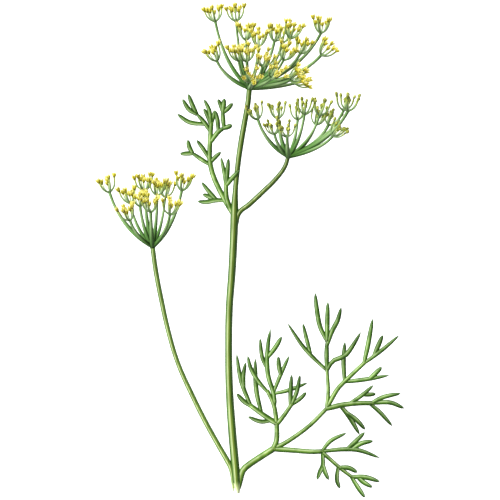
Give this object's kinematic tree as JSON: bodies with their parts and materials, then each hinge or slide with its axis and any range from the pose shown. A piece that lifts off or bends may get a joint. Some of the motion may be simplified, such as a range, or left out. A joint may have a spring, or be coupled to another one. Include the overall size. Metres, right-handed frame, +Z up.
{
  "type": "dill sprig",
  "caption": "Cut flowering dill sprig lying flat: ribbed stem with side stalks, feathery divided leaves, and domed umbels of yellow florets and green buds.",
  "frame": {"origin": "on the resting surface, under the middle of the whole sprig's box", "axes": "+Y along the stem from the cut foot towards the top umbel, +Z up from the resting surface, +X towards the side of the large lower leaf"},
  "size_m": [0.1851, 0.2965, 0.052],
  "materials": {
    "stem": "fresh ribbed green stem, satin, with pale stripes",
    "leaf": "fresh blue-green leaf thread, satin, with a pale middle",
    "ray": "slim green ray and pedicel, satin",
    "floret": "yellow petals, soft and slightly translucent",
    "bud": "closed yellow-green bud, satin",
    "heart": "olive floret heart and ovary, satin",
    "pith": "pale moist pith at the cut"
  },
  "bodies": {
    "root": {"main_stem": "stem", "left_stalk": "stem", "right_stalk": "stem", "lower_leaf": "leaf", "upper_leaf": "leaf", "top_umbel": "floret", "left_umbel": "floret", "right_umbel": "bud"}
  },
  "joints": []
}
